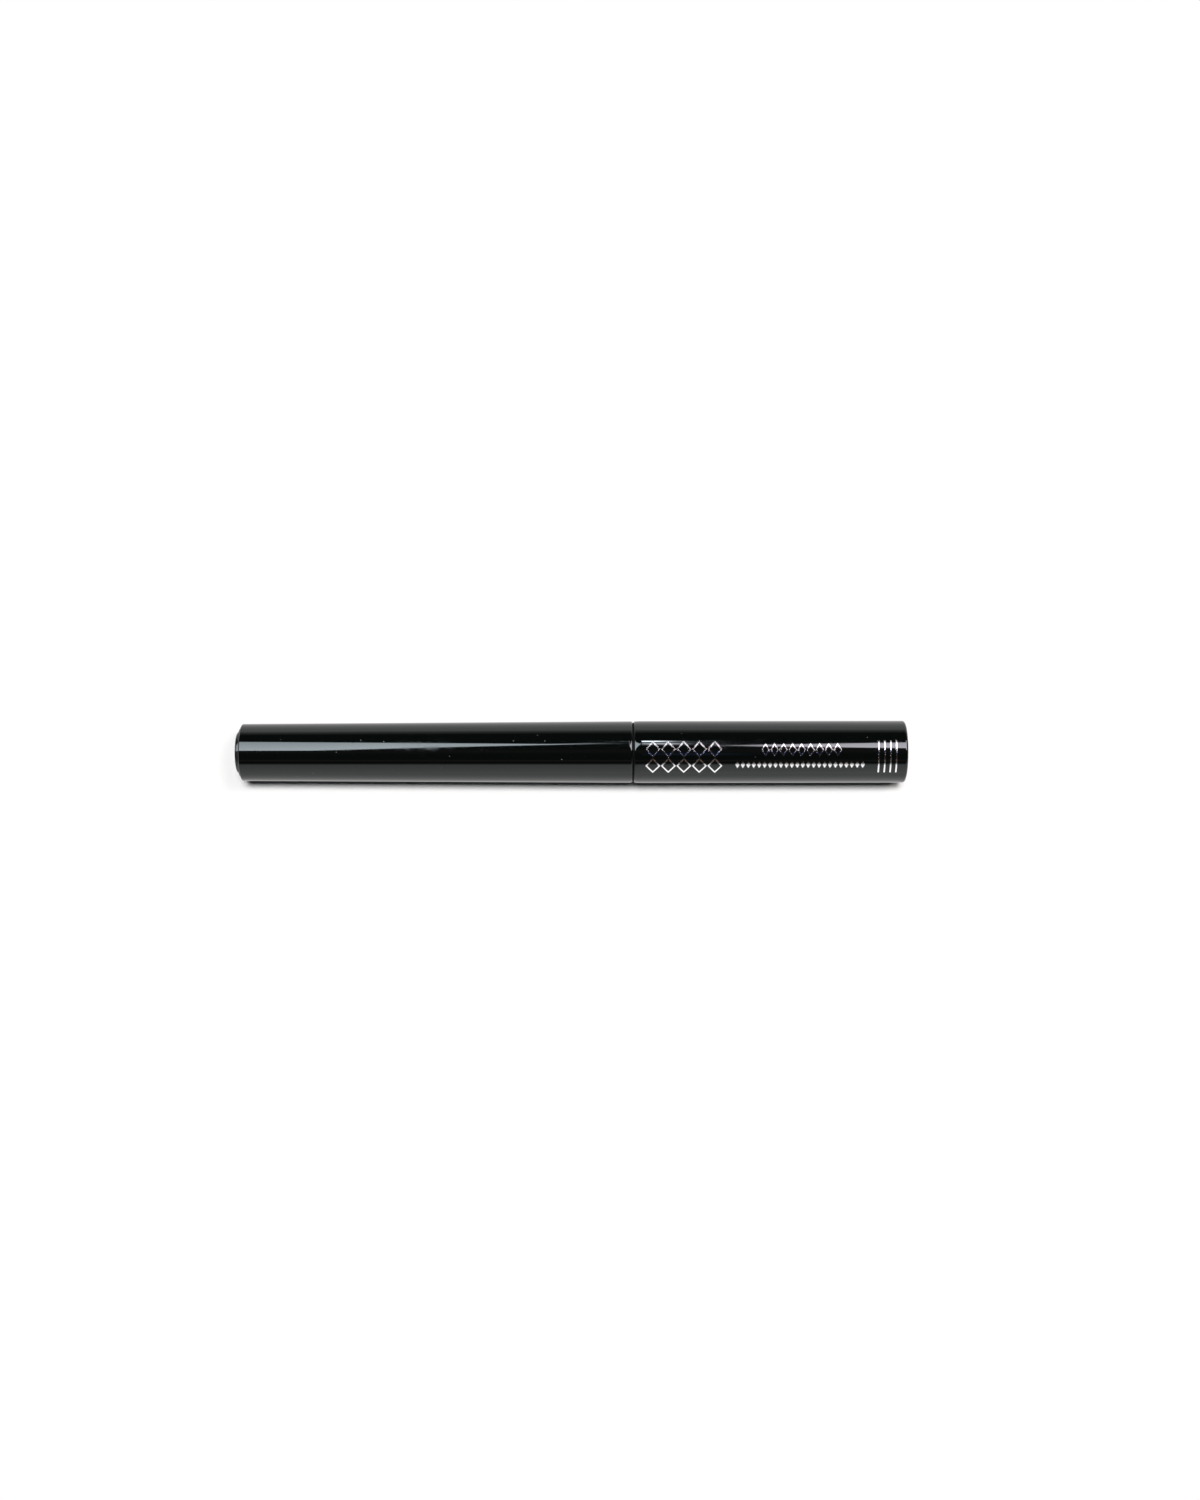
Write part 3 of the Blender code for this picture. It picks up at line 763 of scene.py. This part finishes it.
draw = random.Random(7)
fibres = []
for number in range(FIBRES):
    spread = math.sqrt((number + 0.5) / FIBRES)
    turn = number * GOLDEN_ANGLE + draw.uniform(-TURN_SCATTER, TURN_SCATTER)
    shorter = OUTER_TIPS_SHORTER * spread * draw.uniform(0.0, 1.0)
    tip_x = tuft_tip_x - shorter - TIP_SCATTER * draw.random()
    fibres.append((spread, turn, tip_x if number else tuft_tip_x))


def fibre_ring(number, step):
    """The middle and the radius of a fibre at one of its rings."""
    spread, turn, tip_x = fibres[number]
    along_fibre = step / FIBRE_STEPS
    x = tuft_root_x + (tip_x - tuft_root_x) * along_fibre
    thinner = TAPER * max(along_fibre - TAPER_START, 0.0) / TAPER_LENGTH
    thickness = FIBRE_RADIUS * (1.0 - thinner)
    offset = spread * max(tuft_radius(x) - thickness, 0.0)
    middle = Vector((x, offset * math.cos(turn), axis_height + offset * math.sin(turn)))
    return middle, thickness


bm = bmesh.new()
owner = bm.verts.layers.int.new("fibre")
facing_tip = Matrix.Rotation(math.radians(90), 4, "Y")
for number in range(FIBRES):
    middle, thickness = fibre_ring(number, 0)
    root = bmesh.ops.create_circle(bm, cap_ends=True, segments=FIBRE_SIDES, radius=thickness,
                                   matrix=Matrix.Translation(middle) @ facing_tip)
    for vert in root["verts"]:
        vert[owner] = number
front = bm.faces[:]
for step in range(1, FIBRE_STEPS + 1):
    front = bmesh.ops.extrude_discrete_faces(bm, faces=front)["faces"]
    for face in front:
        number = face.verts[0][owner]
        before, thickness_before = fibre_ring(number, step - 1)
        middle, thickness = fibre_ring(number, step)
        for vert in face.verts:
            vert.co = middle + (vert.co - before) * (thickness / thickness_before)
brush_fibres = made_piece("brush_fibres", bm)

wet_fibre = bpy.data.materials.new("wet_black_fibre")
sheet = NodeSheet(wet_fibre)
strands = noise(sheet, stretched(sheet, object_place(sheet), (0.04, 1.0, 1.0)), 16000.0)
finished(sheet, {
    "Base Color": sheet.mix(strands, (0.006, 0.006, 0.006, 1.0), (0.014, 0.012, 0.012, 1.0)),
    "Roughness": 0.22 + 0.20 * strands,
    "Normal": bump(sheet, strands, 0.000004),
    "IOR": 1.5,
})
dressed(brush_fibres, wet_fibre, "brush_tuft", "bristle_fibre", "bristles")

# The cap's casing, which is also the handle: a long tube that tapers towards its far end, moulded
# in the same polished black plastic. Its far end has a wider seat for the plug.
low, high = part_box("cap_shell")
cap_end_x, cap_mouth_x = low.x, high.x
CAP_RADIUS, CAP_END_RADIUS = 0.005947, 0.00552
CAP_MOUTH_RADIUS, CAP_MOUTH_WEAR_LENGTH = 0.005905, 0.0005
CAP_BORE, CAP_END_BORE = 0.00505, 0.00464
PLUG_SEAT_RADIUS, PLUG_SEAT_DEPTH = 0.00495, 0.0030
plug_seat_x = cap_end_x + PLUG_SEAT_DEPTH
cap_casing = turned("cap_casing", [
    (plug_seat_x, PLUG_SEAT_RADIUS, 0.00005),
    (cap_end_x, PLUG_SEAT_RADIUS, 0.00004),
    (cap_end_x, CAP_END_RADIUS, 0.0003),
    (cap_mouth_x - CAP_MOUTH_WEAR_LENGTH, CAP_RADIUS, 0.0002),
    (cap_mouth_x, CAP_MOUTH_RADIUS, 0.00025),
    (cap_mouth_x, CAP_BORE, 0.00008),
    (plug_seat_x, CAP_END_BORE, 0.0001),
], sides=192)
dressed(cap_casing, polished_black, "closure", "cap_casing", "cap_shell")
# The inner part of the cap's mouth face, in the parting, gets the same painted shade.
paint_parting_shade(cap_casing, cap_mouth_x, cap_mouth_x, LIP_RADIUS)

# The end plug: a cup with a low round boss on its face, moulded in the same black plastic and
# pressed into the cap's far end. It stands out by nearly a millimetre, in two steps.
low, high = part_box("end_plug")
boss_face_x, stub_end_x = low.x, high.x
BOSS_RADIUS, BOSS_HEIGHT = 0.0040, 0.00056
PLUG_RADIUS, PLUG_CLEARANCE = 0.00475, 0.0003
STUB_RADIUS, STUB_BORE = 0.00432, 0.00332
PLUG_THICKNESS = 0.0010
plug_face_x = boss_face_x + BOSS_HEIGHT
plug_back_x = plug_seat_x - PLUG_CLEARANCE
plug_inside_x = plug_face_x + PLUG_THICKNESS
plug_cup = turned("plug_cup", [
    (boss_face_x, 0.0, 0.0),
    (boss_face_x, BOSS_RADIUS, 0.00035),
    (plug_face_x, BOSS_RADIUS, 0.00006),
    (plug_face_x, PLUG_RADIUS, 0.00012),
    (plug_back_x, PLUG_RADIUS, 0.00005),
    (plug_back_x, STUB_RADIUS, 0.00005),
    (stub_end_x, STUB_RADIUS, 0.00015),
    (stub_end_x, STUB_BORE, 0.0001),
    (plug_inside_x, STUB_BORE, 0.0002),
    (plug_inside_x, 0.0, 0.0),
], sides=160)
dressed(plug_cup, polished_black, "closure", "plug_casing", "end_plug")

# The inner cap, glued into the casing: it screws on the neck, and the boss behind its web holds
# the rod. It is moulded in satin black plastic.
inner_mouth_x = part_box("inner_cap")[1].x
WEB_X, WEB_THICKNESS = -0.0020, 0.0016
THREAD_CLEARANCE = 0.0001
INNER_RADIUS, INNER_MOUTH_FLARE = 0.0046, 0.0002
SKIRT_BORE, SKIRT_LENGTH = 0.0039, 0.0060
ROD_BOSS_RADIUS, ROD_BOSS_LENGTH = 0.0026, 0.0110
ROD_SOCKET_RADIUS, ROD_SOCKET_DEPTH = 0.0014, 0.0105
INNER_THREAD_TURNS = 1.25
inner_bore = NECK_RADIUS + 2 * THREAD_HEIGHT + THREAD_CLEARANCE
web_back_x = WEB_X - WEB_THICKNESS
skirt_end_x = web_back_x - SKIRT_LENGTH
rod_boss_end_x = web_back_x - ROD_BOSS_LENGTH
rod_socket_x = WEB_X - ROD_SOCKET_DEPTH
inner_moulding = turned("inner_moulding", [
    (rod_socket_x, 0.0, 0.0),
    (rod_socket_x, ROD_SOCKET_RADIUS, 0.0001),
    (WEB_X, ROD_SOCKET_RADIUS, 0.00012),
    (WEB_X, inner_bore, 0.0002),
    (inner_mouth_x - INNER_MOUTH_FLARE, inner_bore, 0.0),
    (inner_mouth_x, inner_bore + INNER_MOUTH_FLARE, 0.0),
    (inner_mouth_x, INNER_RADIUS, 0.0001),
    (skirt_end_x, INNER_RADIUS, 0.0001),
    (skirt_end_x, SKIRT_BORE, 0.0001),
    (web_back_x, SKIRT_BORE, 0.0002),
    (web_back_x, ROD_BOSS_RADIUS, 0.0002),
    (rod_boss_end_x, ROD_BOSS_RADIUS, 0.0002),
    (rod_boss_end_x, 0.0, 0.0),
], sides=128)
inner_crest = inner_bore - THREAD_HEIGHT
inner_thread_x = NECK_THREAD_X + THREAD_LEAD / 2
fused(inner_moulding, thread_ridge(inner_bore, inner_crest, inner_thread_x, INNER_THREAD_TURNS))
dressed(inner_moulding, satin_black, "closure", "inner_moulding", "inner_cap")

# The wand: a straight rod, pushed into the inner cap's boss, and the tapered holder that plugs
# into its tip and grips the fibres. Both are satin black plastic, wet with liquid beyond the wiper.
low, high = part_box("wand_rod")
rod_back_x, rod_tip_x = low.x, high.x
ROD_RADIUS = 0.0011
ROD_HOLE_RADIUS, ROD_HOLE_DEPTH = 0.0008, 0.0028
rod_hole_x = rod_tip_x - ROD_HOLE_DEPTH
rod = turned("wand_stem", [
    (rod_back_x, 0.0, 0.0),
    (rod_back_x, ROD_RADIUS, 0.0001),
    (rod_tip_x, ROD_RADIUS, 0.00005),
    (rod_tip_x, ROD_HOLE_RADIUS, 0.00003),
    (rod_hole_x, ROD_HOLE_RADIUS, 0.0),
    (rod_hole_x, 0.0, 0.0),
], sides=64)

spigot_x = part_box("brush_holder")[0].x
SPIGOT_RADIUS = 0.00055
HOLDER_CLEARANCE = 0.00002
HOLDER_END_RADIUS = 0.00085
FIBRE_HOLE_RADIUS, FIBRE_HOLE_DEPTH = 0.00062, 0.0020
holder_body_x = rod_tip_x + HOLDER_CLEARANCE
fibre_hole_x = holder_end_x - FIBRE_HOLE_DEPTH
holder = turned("brush_ferrule", [
    (spigot_x, 0.0, 0.0),
    (spigot_x, SPIGOT_RADIUS, 0.00008),
    (holder_body_x, SPIGOT_RADIUS, 0.00003),
    (holder_body_x, ROD_RADIUS, 0.00005),
    (holder_end_x, HOLDER_END_RADIUS, 0.00006),
    (holder_end_x, FIBRE_HOLE_RADIUS, 0.00003),
    (fibre_hole_x, FIBRE_HOLE_RADIUS, 0.0),
    (fibre_hole_x, 0.0, 0.0),
], sides=64)

WET_FROM, WET_TO, WET_RAGGEDNESS = 0.0085, 0.0115, 0.012
inked_black = bpy.data.materials.new("inked_black")
sheet = NodeSheet(inked_black)
place = object_place(sheet)
texture = noise(sheet, place, 9000.0, 3.0, 0.6)
cloud = noise(sheet, place, 900.0, 3.0)
film = (sheet.x_of(place) + WET_RAGGEDNESS * (cloud - 0.5)).rise(WET_FROM, WET_TO)
finished(sheet, {
    "Base Color": sheet.mix(film, (0.012, 0.012, 0.013, 1.0), LIQUID_BLACK),
    "Roughness": 0.32 - 0.22 * film + 0.06 * cloud,
    "Normal": bump(sheet, texture * (1 - film) + cloud * film, 0.000003),
    "IOR": 1.5,
})
dressed(rod, inked_black, "closure", "wand_moulding", "wand_rod")
dressed(holder, inked_black, "closure", "wand_moulding", "brush_holder")
